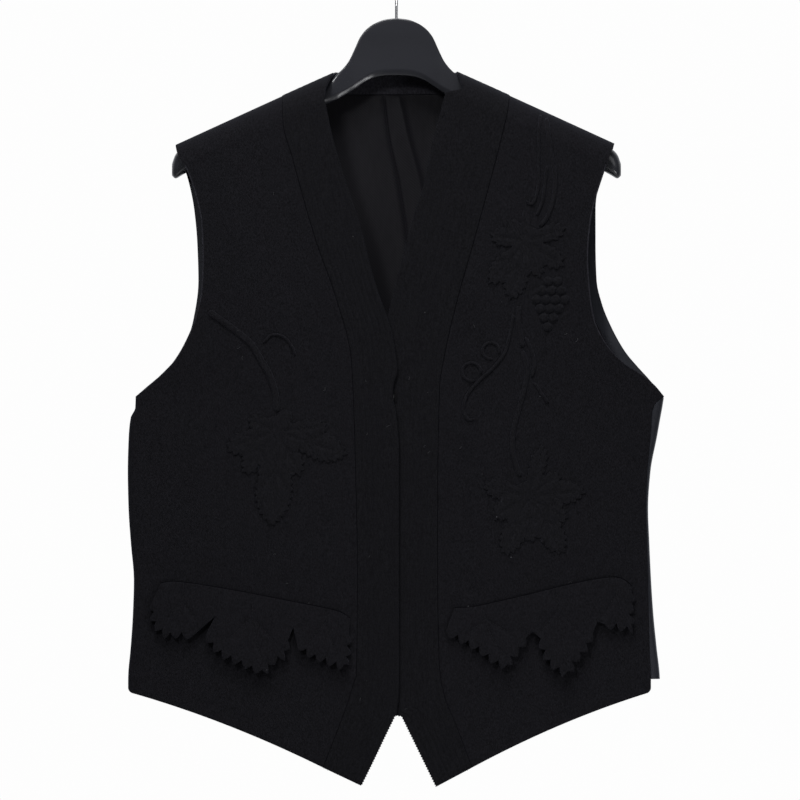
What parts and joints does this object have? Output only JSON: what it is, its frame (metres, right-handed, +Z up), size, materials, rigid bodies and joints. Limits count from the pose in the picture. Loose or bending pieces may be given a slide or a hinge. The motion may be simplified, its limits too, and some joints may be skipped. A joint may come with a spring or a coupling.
{
  "type": "vest on a hanger",
  "caption": "Short black wool vest hung shut on a moulded hanger, with quilted front bands, leaf-edged pocket flaps and a vine in applique.",
  "frame": {"origin": "inside top of the hanger's hook, where a rail or a wall hook holds it", "axes": "+X to the viewer's right seen from the front, -Y towards the viewer, +Z up"},
  "size_m": [0.4997, 0.0574, 0.7787],
  "materials": {
    "milled_wool": "matt black milled wool with a short fuzzy nap",
    "band_wool": "the same wool, doubled and quilted in close rows of stitching",
    "applique_wool": "the same wool, cut out, sewn down and veined with stitches",
    "back_cloth": "smooth dark lining cloth with a soft sheen",
    "twill_lining": "fine twill with a soft sheen",
    "hanger_plastic": "black moulded plastic with a satin surface",
    "hook_metal": "plated steel wire"
  },
  "bodies": {
    "root": {"flap_left": "milled_wool", "flap_right": "milled_wool", "front_left": "milled_wool", "front_right": "milled_wool", "neck_facing": "milled_wool", "band_left": "band_wool", "band_right": "band_wool", "grape_01": "applique_wool", "grape_02": "applique_wool", "grape_03": "applique_wool", "grape_04": "applique_wool", "grape_05": "applique_wool", "grape_06": "applique_wool", "grape_07": "applique_wool", "grape_08": "applique_wool", "grape_09": "applique_wool", "grape_10": "applique_wool", "grape_11": "applique_wool", "grape_12": "applique_wool", "grape_13": "applique_wool", "grape_14": "applique_wool", "grape_15": "applique_wool", "leaf_left": "applique_wool", "leaf_lower": "applique_wool", "leaf_upper": "applique_wool", "stem_inner": "applique_wool", "stem_left": "applique_wool", "stem_middle": "applique_wool", "stem_outer": "applique_wool", "tendril_curl_lower": "applique_wool", "tendril_curl_upper": "applique_wool", "tendril_left": "applique_wool", "tendril_long": "applique_wool", "vine_branch": "applique_wool", "vine_lower": "applique_wool", "vine_outer": "applique_wool", "vine_upper": "applique_wool", "back": "back_cloth", "back_lining": "twill_lining", "hanger_body": "hanger_plastic", "closure_hook": "hook_metal", "hanger_hook": "hook_metal"}
  },
  "joints": []
}
